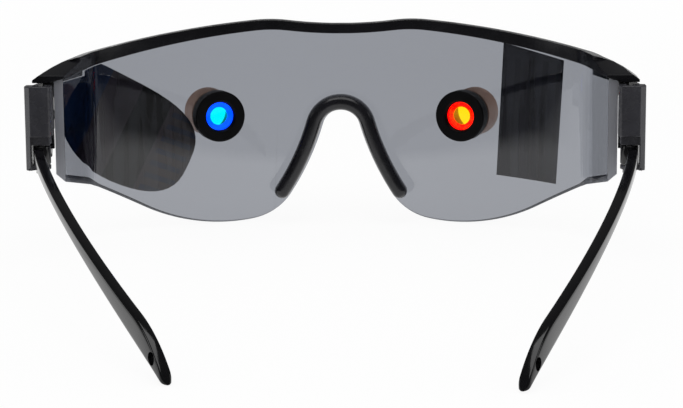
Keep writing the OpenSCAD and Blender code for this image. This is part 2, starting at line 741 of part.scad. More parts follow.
visor();
brow_bar();
nose_bridge();
label_oval();
label_strip();
color([0.86, 0.8, 0.7]) side(false) on_tube() barrel();  // barrel_left
color([0.86, 0.8, 0.7]) side(true) on_tube() barrel();  // barrel_right
color([0.05, 0.05, 0.06]) side(false) on_tube() retaining_ring();  // retaining_ring_left
color([0.05, 0.05, 0.06]) side(true) on_tube() retaining_ring();  // retaining_ring_right
color([0.1, 0.5, 0.98]) side(false) on_tube() filter_disc();  // filter_left
color([0.95, 0.1, 0.1]) side(true) on_tube() filter_disc();  // filter_right
color([0.1, 0.1, 0.1]) side(false) on_tube() aperture_disc();  // aperture_disc_left
color([0.1, 0.1, 0.1]) side(true) on_tube() aperture_disc();  // aperture_disc_right
color([0.2, 0.2, 0.21]) side(false) hinge_block();  // hinge_block_left
color([0.2, 0.2, 0.21]) side(true) hinge_block();  // hinge_block_right
color([0.7, 0.7, 0.72]) side(false) tilt_pin();  // tilt_pin_left
color([0.7, 0.7, 0.72]) side(true) tilt_pin();  // tilt_pin_right
color([0.7, 0.7, 0.72]) side(false) fold_pin();  // fold_pin_left
color([0.7, 0.7, 0.72]) side(true) fold_pin();  // fold_pin_right
color([0.08, 0.08, 0.09]) side(false) arm(fold_left);  // arm_left
color([0.08, 0.08, 0.09]) side(true) arm(fold_right);  // arm_right
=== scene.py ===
import math
import bpy
import bmesh
from mathutils import Matrix, Vector


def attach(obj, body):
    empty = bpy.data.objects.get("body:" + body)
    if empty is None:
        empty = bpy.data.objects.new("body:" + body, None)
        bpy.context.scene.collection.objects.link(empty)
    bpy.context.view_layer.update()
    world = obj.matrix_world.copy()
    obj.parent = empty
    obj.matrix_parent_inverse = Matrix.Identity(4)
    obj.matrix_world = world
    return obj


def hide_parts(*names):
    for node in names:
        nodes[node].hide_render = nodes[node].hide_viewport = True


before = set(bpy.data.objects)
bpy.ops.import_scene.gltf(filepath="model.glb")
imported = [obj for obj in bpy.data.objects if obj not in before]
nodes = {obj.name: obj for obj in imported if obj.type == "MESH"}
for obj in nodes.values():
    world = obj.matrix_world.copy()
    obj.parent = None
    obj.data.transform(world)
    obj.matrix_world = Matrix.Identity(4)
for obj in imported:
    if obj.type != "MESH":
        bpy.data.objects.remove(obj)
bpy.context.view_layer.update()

mm = 0.001
scene = bpy.context.scene

# The middle of the hinge line as the glasses stand, in metres, and the front's forward lean
hingeLine = Vector((0, -0.029939, 0.032619))
frontLean = math.radians(3.1)
# Seen from above, the sheet's middle is an arc whose centre lies this far behind the hinge line
sheetCentreMm = 43


def onFront(x, y, z):
    # a place in the front's own frame, in millimetres, as a place in the scene
    return hingeLine + Matrix.Rotation(frontLean, 3, "X") @ Vector((x, y, z)) * mm


def linear(hexColour):
    # an sRGB hex colour as linear red, green, blue and a full alpha
    channels = [int(hexColour[i:i + 2], 16) / 255 for i in (0, 2, 4)]
    return [c / 12.92 if c <= 0.04045 else ((c + 0.055) / 1.055) ** 2.4 for c in channels] + [1]


def addNode(tree, kind, values=None, links=None, **settings):
    # one shader node: values and links go to its sockets, and settings are its own options
    node = tree.nodes.new("ShaderNode" + kind)
    for name, value in settings.items():
        setattr(node, name, value)
    for name, value in (values or {}).items():
        node.inputs[name].default_value = value
    for name, source in (links or {}).items():
        tree.links.new(source, node.inputs[name])
    return node


def setStops(ramp, stops):
    # the stops of a colour ramp, each a place from 0 to 1 and its linear colour
    elements = ramp.color_ramp.elements
    while len(elements) < len(stops):
        elements.new(0.5)
    for element, (place, colour) in zip(elements, stops):
        element.position = place
        element.color = colour


def newMaterial(name):
    # a material with no nodes yet, and its tree
    material = bpy.data.materials.new(name)
    material.use_nodes = True
    material.node_tree.nodes.clear()
    return material, material.node_tree


def perMetre(sizeMm):
    # the scale of a noise or pattern whose cells are about sizeMm wide
    return 1 / (sizeMm * mm)


# Noise keeps near its middle: this part of its range is spread over what it drives
noiseSpan = {"From Min": 0.35, "From Max": 0.65}
# Depth of a moulded grain over its width
grainDepth = 0.2


def mouldedPlastic(name, look):
    # a moulded skin: its colour drifts a little, and hands have rubbed its gloss uneven
    material, tree = newMaterial(name)
    place = addNode(tree, "TexCoord").outputs["Object"]
    drift = addNode(tree, "TexNoise", {"Scale": perMetre(look["driftMm"]), "Detail": 3},
                    {"Vector": place})
    rubbed = addNode(tree, "TexNoise",
                     {"Scale": perMetre(look["rubMm"]), "Detail": 5, "Distortion": 0.8},
                     {"Vector": place})
    grain = addNode(tree, "TexNoise", {"Scale": perMetre(look["grainMm"]), "Detail": 2},
                    {"Vector": place})
    ramp = addNode(tree, "ValToRGB", None, {"Fac": drift.outputs["Fac"]})
    setStops(ramp, [(noiseSpan["From Min"], linear(look["dark"])),
                    (noiseSpan["From Max"], linear(look["pale"]))])
    gloss = addNode(tree, "MapRange",
                    {**noiseSpan, "To Min": look["gloss"][0], "To Max": look["gloss"][1]},
                    {"Value": rubbed.outputs["Fac"]})
    skin = addNode(tree, "Bump", {"Strength": look["grainStrength"],
                                  "Distance": look["grainMm"] * mm * grainDepth},
                   {"Height": grain.outputs["Fac"]})
    shader = addNode(tree, "BsdfPrincipled", {"IOR": look["ior"], "Specular IOR Level": look["shine"]},
                     {"Base Color": ramp.outputs["Color"], "Roughness": gloss.outputs["Result"],
                      "Normal": skin.outputs["Normal"]})
    addNode(tree, "OutputMaterial", None, {"Surface": shader.outputs["BSDF"]})
    return material


# A real moulded grain is a few hundredths of a millimetre wide: grainMm is coarser, so that it shows

# Nylon, injection moulded in a polished mould: deep black that mirrors what stands round it
polishedNylon = mouldedPlastic("polished black nylon", {
    "dark": "040406", "pale": "08080a", "driftMm": 9, "rubMm": 3, "grainMm": 0.8, "grainStrength": 0.02,
    "gloss": (0.08, 0.15), "shine": 0.5, "ior": 1.53})
# The same nylon with a silk skin: the long bar stays an even black under soft, low reflections
barNylon = mouldedPlastic("silk black nylon", {
    "dark": "0e0e11", "pale": "131317", "driftMm": 12, "rubMm": 4, "grainMm": 0.6, "grainStrength": 0.03,
    "gloss": (0.16, 0.26), "shine": 0.28, "ior": 1.53})
# The same nylon from a sandblasted mould: a satin charcoal, a little paler than the bar above it
satinNylon = mouldedPlastic("satin black nylon", {
    "dark": "2a2a2f", "pale": "343439", "driftMm": 6, "rubMm": 2, "grainMm": 0.35, "grainStrength": 0.08,
    "gloss": (0.2, 0.32), "shine": 0.5, "ior": 1.53})
# Thermoplastic elastomer: a soft bluish black with broad highlights
softElastomer = mouldedPlastic("soft black elastomer", {
    "dark": "0c0c11", "pale": "141419", "driftMm": 6, "rubMm": 2.5, "grainMm": 0.5, "grainStrength": 0.05,
    "gloss": (0.18, 0.28), "shine": 0.5, "ior": 1.5})
# ABS in ivory, as the barrels of small optics are moulded: a warm satin surface
ivoryAbs = mouldedPlastic("moulded ivory ABS", {
    "dark": "cea692", "pale": "dcb8a2", "driftMm": 5, "rubMm": 2, "grainMm": 0.4, "grainStrength": 0.12,
    "gloss": (0.32, 0.45), "shine": 0.3, "ior": 1.54})
# Acetal, turned on a lathe and left matt: a dense black that mirrors next to nothing
turnedAcetal = mouldedPlastic("turned black acetal", {
    "dark": "040405", "pale": "08080a", "driftMm": 4, "rubMm": 1.5, "grainMm": 0.3, "grainStrength": 0.05,
    "gloss": (0.35, 0.5), "shine": 0.1, "ior": 1.48})


def sheetEdges(tree, place, look):
    # 1 on the sheet's cut edges and 0 on its two faces: a cut edge stands across the way that the
    # sheet faces, which turns about curveCentre in front and is the same all over a side panel
    apart = addNode(tree, "SeparateXYZ", None, {"Vector": place})
    aside = addNode(tree, "Math", None, {0: apart.outputs["X"]}, operation="ABSOLUTE")
    panel = addNode(tree, "Math", {1: look["bendAt"]}, {0: aside.outputs["Value"]},
                    operation="GREATER_THAN")
    turned = addNode(tree, "VectorMath", {1: look["curveCentre"]}, {0: place}, operation="SUBTRACT")
    bowed = addNode(tree, "SeparateXYZ", None, {"Vector": turned.outputs["Vector"]})
    hand = addNode(tree, "Math", None, {0: apart.outputs["X"]}, operation="SIGN")
    sideX = addNode(tree, "Math", {1: look["panelFaces"][0]}, {0: hand.outputs["Value"]},
                    operation="MULTIPLY")
    faceX = addNode(tree, "MapRange", None,
                    {"Value": panel.outputs["Value"], "To Min": bowed.outputs["X"],
                     "To Max": sideX.outputs["Value"]})
    faceY = addNode(tree, "MapRange", {"To Max": look["panelFaces"][1]},
                    {"Value": panel.outputs["Value"], "To Min": bowed.outputs["Y"]})
    facing = addNode(tree, "CombineXYZ", None,
                     {"X": faceX.outputs["Result"], "Y": faceY.outputs["Result"]})
    unit = addNode(tree, "VectorMath", None, {0: facing.outputs["Vector"]}, operation="NORMALIZE")
    normal = addNode(tree, "NewGeometry").outputs["True Normal"]
    along = addNode(tree, "VectorMath", None, {0: unit.outputs["Vector"], 1: normal},
                    operation="DOT_PRODUCT")
    across = addNode(tree, "Math", None, {0: along.outputs["Value"]}, operation="ABSOLUTE")
    edge = addNode(tree, "MapRange", {"From Min": look["faceFrom"], "From Max": look["edgeFrom"]},
                   {"Value": across.outputs["Value"]})
    return edge.outputs["Result"]


def dyedSheet(name, look):
    # clear plastic with dye all through it: long ways through it come out darker
    material, tree = newMaterial(name)
    place = addNode(tree, "TexCoord").outputs["Object"]
    smear = addNode(tree, "TexNoise", {"Scale": perMetre(look["smearMm"]), "Detail": 2},
                    {"Vector": place})
    gloss = addNode(tree, "MapRange",
                    {**noiseSpan, "To Min": look["gloss"][0], "To Max": look["gloss"][1]},
                    {"Value": smear.outputs["Fac"]})
    edge = sheetEdges(tree, place, look)
    matt = addNode(tree, "MapRange", {"To Max": look["edgeGloss"]},
                   {"Value": edge, "To Min": gloss.outputs["Result"]})
    clear = addNode(tree, "MapRange", {"To Min": 1, "To Max": look["edgeClear"]}, {"Value": edge})
    tint = addNode(tree, "MixRGB",
                   {"Color1": linear(look["coat"]), "Color2": linear(look["edgeColour"])},
                   {"Fac": edge})
    sheet = addNode(tree, "BsdfPrincipled", {"IOR": look["ior"]},
                    {"Base Color": tint.outputs["Color"], "Roughness": matt.outputs["Result"],
                     "Transmission Weight": clear.outputs["Result"]})
    # The lamps shine straight through, so that the sheet throws only a faint shadow
    lampsPass = addNode(tree, "BsdfTransparent", {"Color": linear(look["lampsPass"])})
    rays = addNode(tree, "LightPath")
    surface = addNode(tree, "MixShader", None, {"Fac": rays.outputs["Is Shadow Ray"]})
    tree.links.new(sheet.outputs["BSDF"], surface.inputs[1])
    tree.links.new(lampsPass.outputs["BSDF"], surface.inputs[2])
    dye = addNode(tree, "VolumeAbsorption",
                  {"Color": linear(look["dye"]), "Density": look["dyePerMetre"]})
    addNode(tree, "OutputMaterial", None,
            {"Surface": surface.outputs["Shader"], "Volume": dye.outputs["Volume"]})
    return material


# Polycarbonate, dyed smoke grey and hard coated: white seen through it is a mid grey, and darker
# aslant. Its cut edges are sawn, and left matt and pale. The side panels begin at bendAt from the
# middle, and face outward and a little forward.
smokePolycarbonate = dyedSheet("smoke polycarbonate", {
    "dye": "bcbfc6", "dyePerMetre": 520, "coat": "c3c5c9", "smearMm": 14, "gloss": (0.0, 0.015),
    "ior": 1.58, "lampsPass": "f8f8f8", "edgeGloss": 0.5, "edgeClear": 0.35, "edgeColour": "a2a4ac",
    "faceFrom": 0.75, "edgeFrom": 0.6, "bendAt": 62.5 * mm,
    "curveCentre": tuple(onFront(0, sheetCentreMm, 0)), "panelFaces": (0.97, -0.24)})


# What all the acrylic pieces share: polished, with faint clouds in the dye that dim their painted glow a
# little in places
acrylic = {"cloudMm": 2.5, "cloudSpan": (0.3, 0.7), "dimmest": 0.9, "polish": 0.03, "ior": 1.49}


def acrylicWithPaintedGlow(name, look):
    # dyed acrylic with a painted glow: its emission, in its own colour, stands in for the light that
    # comes through the tube
    material, tree = newMaterial(name)
    place = addNode(tree, "TexCoord").outputs["Object"]
    cloud = addNode(tree, "TexNoise", {"Scale": perMetre(acrylic["cloudMm"]), "Detail": 1},
                    {"Vector": place})
    # painted glow: emission strength, a little dimmer where the clouds are
    paintedGlow = addNode(tree, "MapRange",
                    {"From Min": acrylic["cloudSpan"][0], "From Max": acrylic["cloudSpan"][1],
                     "To Min": look["glow"] * acrylic["dimmest"], "To Max": look["glow"]},
                    {"Value": cloud.outputs["Fac"]})
    disc = addNode(tree, "BsdfPrincipled",
                   {"Base Color": linear(look["tint"]), "IOR": acrylic["ior"],
                    "Transmission Weight": look["clear"], "Roughness": acrylic["polish"],
                    "Emission Color": linear(look["light"])},
                   {"Emission Strength": paintedGlow.outputs["Result"]})
    addNode(tree, "OutputMaterial", None, {"Surface": disc.outputs["BSDF"]})
    return material


# Acrylic dyed right through: clear enough to look along the tube, in one strong colour, with a faint
# painted glow
blueAcrylic = acrylicWithPaintedGlow("blue acrylic",
                        {"tint": "00ffff", "light": "0040ff", "glow": 0.05, "clear": 1})
redAcrylic = acrylicWithPaintedGlow("red acrylic",
                       {"tint": "ffe818", "light": "ff1000", "glow": 0.05, "clear": 1})
# The discs in front of the filters are dyed too, in deeper colours, and opaque: their strong painted glow
# stands in for the light that shines through the tubes
blueDisc = acrylicWithPaintedGlow("deep blue disc with painted glow",
                     {"tint": "0150fa", "light": "0151fa", "glow": 1.15, "clear": 0})
redDisc = acrylicWithPaintedGlow("deep red disc with painted glow",
                    {"tint": "fc0111", "light": "fc0111", "glow": 1.2, "clear": 0})


def drawnSteel(name, look):
    # wire, drawn and cut: bright, with fine lines that spread its reflections
    material, tree = newMaterial(name)
    place = addNode(tree, "TexCoord").outputs["Object"]
    lines = addNode(tree, "TexNoise", {"Scale": perMetre(look["lineMm"]), "Detail": 2},
                    {"Vector": place})
    gloss = addNode(tree, "MapRange", {"To Min": look["gloss"][0], "To Max": look["gloss"][1]},
                    {"Value": lines.outputs["Fac"]})
    shader = addNode(tree, "BsdfPrincipled", {"Base Color": linear(look["steel"]), "Metallic": 1},
                     {"Roughness": gloss.outputs["Result"]})
    addNode(tree, "OutputMaterial", None, {"Surface": shader.outputs["BSDF"]})
    return material


# Stainless steel wire: a cool bright grey in the recesses of the black blocks. The real drawing
# lines are finer than 0.25 mm, and are drawn coarser so that they show.
pinSteel = drawnSteel("drawn stainless steel", {"steel": "b4b4b2", "lineMm": 0.25, "gloss": (0.18, 0.34)})


# What both labels share. A rule is solid up to the first share of its pitch in ruleEdge, and gone by
# the second.
vinyl = {"ruleEdge": (0.38, 0.44), "wornMm": 3, "gloss": (0.25, 0.45), "ior": 1.5}


def printedFilm(name, look):
    # vinyl label: plain fields of ink one after the other, and fine rules over them
    material, tree = newMaterial(name)
    place = addNode(tree, "TexCoord").outputs["Object"]
    along = addNode(tree, "VectorMath", {1: look["along"]}, {0: place}, operation="DOT_PRODUCT")
    across = addNode(tree, "VectorMath", {1: look["across"]}, {0: place}, operation="DOT_PRODUCT")
    run = addNode(tree, "MapRange",
                  {"From Min": look["span"][0] * mm, "From Max": look["span"][1] * mm},
                  {"Value": along.outputs["Value"]})
    fields = addNode(tree, "ValToRGB", None, {"Fac": run.outputs["Result"]})
    setStops(fields, [(stop, linear(colour)) for stop, colour in look["fields"]])
    rows = addNode(tree, "Math", {1: perMetre(look["rulePitchMm"])}, {0: across.outputs["Value"]},
                   operation="MULTIPLY")
    cell = addNode(tree, "Math", None, {0: rows.outputs["Value"]}, operation="FRACT")
    rule = addNode(tree, "MapRange",
                   {"From Min": vinyl["ruleEdge"][0], "From Max": vinyl["ruleEdge"][1],
                    "To Min": look["ruleDepth"], "To Max": 0},
                   {"Value": cell.outputs["Value"]})
    ruled = addNode(tree, "ValToRGB", None, {"Fac": run.outputs["Result"]})
    setStops(ruled, [(stop, (shown, shown, shown, 1)) for stop, shown in look["ruled"]])
    share = addNode(tree, "Math", None, {0: rule.outputs["Result"], 1: ruled.outputs["Color"]},
                    operation="MULTIPLY")
    ink = addNode(tree, "MixRGB", {"Color2": linear(look["ruleColour"])},
                  {"Fac": share.outputs["Value"], "Color1": fields.outputs["Color"]})
    worn = addNode(tree, "TexNoise", {"Scale": perMetre(vinyl["wornMm"]), "Detail": 4},
                   {"Vector": place})
    gloss = addNode(tree, "MapRange", {"To Min": vinyl["gloss"][0], "To Max": vinyl["gloss"][1]},
                    {"Value": worn.outputs["Fac"]})
    shader = addNode(tree, "BsdfPrincipled", {"IOR": vinyl["ior"]},
                     {"Base Color": ink.outputs["Color"], "Roughness": gloss.outputs["Result"]})
    addNode(tree, "OutputMaterial", None, {"Surface": shader.outputs["BSDF"]})
    return material


# Printed vinyl: through the smoke sheet its inks are near black, with a plum and a navy cast. The
# fields run over span, in millimetres, and the rules show where ruled is 1.
plumNavyFilm = printedFilm("printed vinyl, plum and navy", {
    "along": (0.9, 0, 0.44), "across": (-0.44, 0, 0.9), "span": (40, 82),
    "fields": [(0.0, "706269"), (0.3, "706269"), (0.31, "1c1c1e"), (0.5, "1c1c1e"), (0.51, "685a62"),
               (0.7, "5c5262"), (0.71, "1c4478"), (1.0, "1c4478")],
    "ruled": [(0.08, 0), (0.09, 1), (0.27, 1), (0.28, 0)],
    "rulePitchMm": 3.2, "ruleDepth": 0.6, "ruleColour": "34507c"})
charcoalFilm = printedFilm("printed vinyl, charcoal", {
    "along": (0, 0, 1), "across": (1, 0, 0.05), "span": (12, 50),
    "fields": [(0.0, "504f5c"), (1.0, "565562")],
    "ruled": [(0.2, 0), (0.21, 1), (0.82, 1), (0.83, 0)],
    "rulePitchMm": 3.4, "ruleDepth": 0.55, "ruleColour": "3a3944"})
print("materials ready:", len(bpy.data.materials))


# The CAD pieces that keep their form, and how each is dressed. Its soft edges are edgeMm wide, and
# lie where its faces meet at sharpFrom degrees or more. A name without a side stands for both sides.
# On the bar they don't slide along the edges beside them, which keeps them even in tight corners.
finishes = {
    "barrel": {"material": ivoryAbs, "edgeMm": 0.25},
    "retaining_ring": {"material": turnedAcetal, "edgeMm": 0.35},
    "hinge_block": {"material": satinNylon, "edgeMm": 0.2},
    "tilt_pin": {"material": pinSteel, "edgeMm": 0.15},
    "fold_pin": {"material": pinSteel, "edgeMm": 0.15},
    "filter_left": {"material": blueAcrylic},
    "filter_right": {"material": redAcrylic},
    "aperture_disc_left": {"material": blueDisc},
    "aperture_disc_right": {"material": redDisc},
    "label_oval": {"material": plumNavyFilm},
    "label_strip": {"material": charcoalFilm},
    "brow_bar": {"material": barNylon, "edgeMm": 0.15, "segments": 2, "sharpFrom": 40, "slide": False},
    "visor": {"material": smokePolycarbonate, "edgeMm": 0.12, "segments": 2},
}
# Points closer than weldMm become one, and so do faces that lean apart by less than flatDegrees
evening = {"weldMm": 0.002, "flatDegrees": 0.3}


def dress(node, material, edgeMm=0, segments=3, sharpFrom=38, slide=True):
    # a material, and soft moulded edges over the CAD solid
    piece = nodes[node]
    piece.data.materials.clear()
    piece.data.materials.append(material)
    for polygon in piece.data.polygons:
        polygon.use_smooth = True
    weld = piece.modifiers.new("weld", "WELD")
    weld.merge_threshold = evening["weldMm"] * mm
    flat = piece.modifiers.new("flat faces", "DECIMATE")
    flat.decimate_type = "DISSOLVE"
    flat.angle_limit = math.radians(evening["flatDegrees"])
    if edgeMm:
        soft = piece.modifiers.new("soft edges", "BEVEL")
        soft.width = edgeMm * mm
        soft.segments = segments
        soft.limit_method = "ANGLE"
        soft.angle_limit = math.radians(sharpFrom)
        soft.use_clamp_overlap = False  # a clamp would go by the shortest edge and leave none soft
        soft.loop_slide = slide
        soft.harden_normals = True
    evened = piece.modifiers.new("even shading", "WEIGHTED_NORMAL")
    evened.keep_sharp = True


for name, finish in finishes.items():
    for node in [name] if name in nodes else [name + "_left", name + "_right"]:
        dress(node, **finish)
print("CAD pieces dressed:", len(finishes), "kinds")


def turns(around):
    # the angles of so many places round a ring
    return [2 * math.pi * j / around for j in range(around)]


def roundedSquare(turn, squareness):
    # a place on a circle of radius 1 (squareness 2), drawn out toward a square by more squareness
    c, s = math.cos(turn), math.sin(turn)
    return (math.copysign(abs(c) ** (2 / squareness), c),
            math.copysign(abs(s) ** (2 / squareness), s))


def skinRings(rings, name, material):
    # a smooth closed skin over a row of rings of places, with a cap at each end
    mesh = bmesh.new()
    rows = [[mesh.verts.new(place) for place in ring] for ring in rings]
    for low, high in zip(rows, rows[1:]):
        for j in range(len(low)):
            k = (j + 1) % len(low)
            mesh.faces.new((low[j], low[k], high[k], high[j]))
    mesh.faces.new(rows[0])
    mesh.faces.new(rows[-1])
    bmesh.ops.recalc_face_normals(mesh, faces=mesh.faces)
    for face in mesh.faces:
        face.smooth = True
    data = bpy.data.meshes.new(name)
    mesh.to_mesh(data)
    mesh.free()
    data.materials.append(material)
    piece = bpy.data.objects.new(name, data)
    scene.collection.objects.link(piece)
    return piece


# The soft section over the nose: a rounded strip on the sheet's rear face, in millimetres from the
# middle of the hinge line and in degrees. Seen from above, its middle is an arc of planRadius about
# the sheet's centre.
noseBridge = {"archRadius": 7.2, "archHeight": -6.71, "legLean": 16.4, "legRadius": 66,
              "legSweep": 17.027, "halfWidth": 1.98, "halfDepth": 3.05, "planRadius": 82.675,
              "squareness": 2.8, "archSteps": 28, "legSteps": 18, "capSteps": 6, "capStart": 0.3,
              "around": 32}


def noseRoute(plan):
    # the strip's middle line seen from the front, from one foot over the arch to the other
    lean, sweep = math.radians(plan["legLean"]), math.radians(plan["legSweep"])
    arch = Vector((0, plan["archHeight"]))
    reach = plan["archRadius"] + plan["legRadius"]
    legCentre = arch + reach * Vector((math.cos(lean), math.sin(lean)))
    leg = []
    for i in range(plan["legSteps"]):
        turn = lean + sweep * (1 - i / plan["legSteps"])
        leg.append(legCentre - plan["legRadius"] * Vector((math.cos(turn), math.sin(turn))))
    over = []
    for i in range(plan["archSteps"] + 1):
        turn = lean + (math.pi - 2 * lean) * i / plan["archSteps"]
        over.append(arch + plan["archRadius"] * Vector((math.cos(turn), math.sin(turn))))
    return leg + over + [Vector((-p.x, p.y)) for p in reversed(leg)]


def noseStations(plan):
    # points along the strip with the way that it runs and its share of the full section, which
    # falls to nothing over a round cap at each foot
    route = noseRoute(plan)
    stations = []
    for i, point in enumerate(route):
        way = (route[min(i + 1, len(route) - 1)] - route[max(i - 1, 0)]).normalized()
        stations.append((point, way, 1))
    capped = []
    for i in range(plan["capSteps"]):
        turn = math.pi / 2 * (1 - (i + plan["capStart"]) / plan["capSteps"])
        capped.append((math.sin(turn) * plan["halfWidth"], math.cos(turn)))
    first, firstWay = stations[0][:2]
    last, lastWay = stations[-1][:2]
    return ([(first - firstWay * out, firstWay, size) for out, size in capped] + stations
            + [(last + lastWay * out, lastWay, size) for out, size in reversed(capped)])


def buildNoseBridge(plan):
    rings = []
    for point, way, size in noseStations(plan):
        across = Vector((way.y, -way.x))
        ring = []
        for turn in turns(plan["around"]):
            aside, deep = roundedSquare(turn, plan["squareness"])
            seen = point + across * (size * plan["halfWidth"] * aside)
            radius = plan["planRadius"] + size * plan["halfDepth"] * deep
            ring.append(onFront(seen.x, sheetCentreMm - math.sqrt(radius ** 2 - seen.x ** 2), seen.y))
        rings.append(ring)
    return skinRings(rings, "soft_nose_bridge", softElastomer)


# The arms: slim blades with a crowned outer face, in millimetres and degrees. Places are counted
# outward and back from the fold pin of each, which stands at pin, and up from the hinge line.
arms = {
    "pin": (69.85, 5.1), "fold": {"left": 11.4, "right": 5.1}, "thickness": 2.5,
    "rootRadius": 174, "rootSweep": 5.1, "mainRadius": 300,
    "top": {"height": -4.3, "slope": 7.4, "radius": 420},
    "foot": {"height": -7.46, "slope": 4.9, "radius": 260},
    "tip": {"from": 89.0, "radius": 24, "end": 102.1, "soft": 1.3, "blunt": 0.05},
    "cordHole": {"at": 97.4, "radius": 1.4, "reach": (-4, 2), "around": 32},
    "knuckle": {"radius": 2.1, "top": -4.15, "height": 4.4, "soft": 0.25, "rimSteps": 4, "around": 40},
    "stations": 64, "crowding": 1.6, "around": 28, "squareness": 5.4, "sharpFrom": 40}


def edgeHeight(edge, back):
    # the height of the blade's upper or lower edge, so far behind the pin
    slope, radius = math.radians(edge["slope"]), edge["radius"]
    backward = back + radius * math.sin(slope)
    return edge["height"] - radius * math.cos(slope) + math.sqrt(radius ** 2 - backward ** 2)


def topHeight(plan, back):
    # the upper edge, which turns down in a tighter arc toward the tip
    tip, edge = plan["tip"], plan["top"]
    if back <= tip["from"]:
        return edgeHeight(edge, back)
    slope = math.radians(edge["slope"])
    turn = math.asin((tip["from"] + edge["radius"] * math.sin(slope)) / edge["radius"])
    middle = (tip["from"] - tip["radius"] * math.sin(turn),
              edgeHeight(edge, tip["from"]) - tip["radius"] * math.cos(turn))
    return middle[1] + math.sqrt(tip["radius"] ** 2 - (back - middle[0]) ** 2)


def blade(plan, back):
    # the blade's outer face seen from above: how far out it lies, and the way that it faces
    root, sweep = plan["rootRadius"], math.radians(plan["rootSweep"])
    centre = Vector((plan["knuckle"]["radius"] - root, 0))
    radius = root
    if back > root * math.sin(sweep):
        centre += (root - plan["mainRadius"]) * Vector((math.cos(sweep), math.sin(sweep)))
        radius = plan["mainRadius"]
    turn = math.asin((back - centre.y) / radius)
    way = Vector((math.cos(turn), math.sin(turn)))
    return centre + radius * way, way


def bladeRings(plan):
    # the blade's sections, closer together toward the tip, where they shrink to a blunt end
    tip = plan["tip"]
    rings = []
    for i in range(plan["stations"] + 1):
        back = tip["end"] * (1 - (1 - i / plan["stations"]) ** plan["crowding"])
        face, way = blade(plan, back)
        high, low = topHeight(plan, back), edgeHeight(plan["foot"], back)
        rounding = max(0, 1 - (tip["end"] - back) / tip["soft"])
        size = math.sqrt(max(1 - rounding ** 2, tip["blunt"]))
        ring = []
        for turn in turns(plan["around"]):
            out, up = roundedSquare(turn, plan["squareness"])
            at = face - way * plan["thickness"] / 2 * (1 - size * out)
            ring.append((at.x, at.y, (high + low) / 2 + size * up * (high - low) / 2))
        rings.append(ring)
    return rings


def knuckleRings(plan):
    # the upright knuckle round the fold pin, with softened rims
    low = plan["top"] - plan["height"]
    profile = []
    for i in range(plan["rimSteps"] + 1):
        turn = math.pi / 2 * i / plan["rimSteps"]
        profile.append((plan["radius"] - plan["soft"] * (1 - math.sin(turn)),
                        low + plan["soft"] * (1 - math.cos(turn))))
    profile += [(radius, low + plan["top"] - height) for radius, height in reversed(profile)]
    return [[(radius * math.cos(turn), radius * math.sin(turn), height)
             for turn in turns(plan["around"])] for radius, height in profile]


def cordHoleRings(plan):
    # a drill across the blade, in the middle of its height, from inside its reach to outside
    hole = plan["cordHole"]
    face, way = blade(plan, hole["at"])
    height = (topHeight(plan, hole["at"]) + edgeHeight(plan["foot"], hole["at"])) / 2
    rings = []
    for reach in hole["reach"]:
        at = face + way * reach
        ring = []
        for turn in turns(hole["around"]):
            beside = at + Vector((-way.y, way.x)) * hole["radius"] * math.cos(turn)
            ring.append((beside.x, beside.y, height + hole["radius"] * math.sin(turn)))
        rings.append(ring)
    return rings


def buildArm(side, plan):
    hand = 1 if side == "left" else -1
    fold = math.radians(plan["fold"][side])

    def placed(out, back, height):
        # from the arm's own frame to the scene, on the arm's own side
        x = plan["pin"][0] + out * math.cos(fold) - back * math.sin(fold)
        y = plan["pin"][1] + out * math.sin(fold) + back * math.cos(fold)
        return onFront(hand * x, y, height)

    def solid(rings, name):
        return skinRings([[placed(*place) for place in ring] for ring in rings], name, polishedNylon)

    arm = solid(bladeRings(plan), "moulded_arm_" + side)
    knuckle = solid(knuckleRings(plan["knuckle"]), "knuckle")
    drill = solid(cordHoleRings(plan), "cord hole")
    for tool, operation in ((knuckle, "UNION"), (drill, "DIFFERENCE")):
        cut = arm.modifiers.new("cut", "BOOLEAN")
        cut.object = tool
        cut.operation = operation
        cut.solver = "EXACT"
    shaped = arm.evaluated_get(bpy.context.evaluated_depsgraph_get())
    whole = bpy.data.meshes.new_from_object(shaped)
    arm.modifiers.clear()
    arm.data = whole
    for tool in (knuckle, drill):
        bpy.data.objects.remove(tool)
    whole.set_sharp_from_angle(angle=math.radians(plan["sharpFrom"]))
    return arm


for side in ("left", "right"):
    arm = buildArm(side, arms)
    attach(arm, "temple_" + side)
    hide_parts("arm_" + side)
    print("arm built:", side, len(arm.data.polygons), "faces")

softNoseBridge = buildNoseBridge(noseBridge)
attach(softNoseBridge, "front")
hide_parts("nose_bridge")
print("nose bridge built:", len(softNoseBridge.data.polygons), "faces")


# A white tent over a white table, in metres and in shares of full white. The camera sees it white all
# over, through the clear pieces too, and matt surfaces take roomLevel from it. In reflections the
# table is bright only beyond the glasses (brightTo) and close round them (closeTo, further to the
# sides by closeShape), the walls are as bright as round says, and what is above them as ceiling.
stage = {"floorSize": 6, "floorColour": "f4f4f4", "shadowShare": 0.08, "fadeFrom": 0.25, "fadeTo": 0.6,
         "roomLevel": 0.75, "ceiling": 0.1, "horizon": (-0.02, 0.05), "dim": 0.08,
         "brightFrom": 0.03, "brightTo": -0.03,
         "closeFrom": 0.1, "closeTo": 0.06, "closeShape": (0.6, 1, 1),
         "round": [(0.0, 1.0), (0.5, 1.0), (0.6, 0.1), (1.0, 0.08)]}


def whiteRays(tree):
    # the kinds of ray, and 1 for those that see white all over
    rays = addNode(tree, "LightPath")
    seen = addNode(tree, "Math", None,
                   {0: rays.outputs["Is Camera Ray"], 1: rays.outputs["Is Transmission Ray"]},
                   operation="MAXIMUM")
    return rays, seen.outputs["Value"]


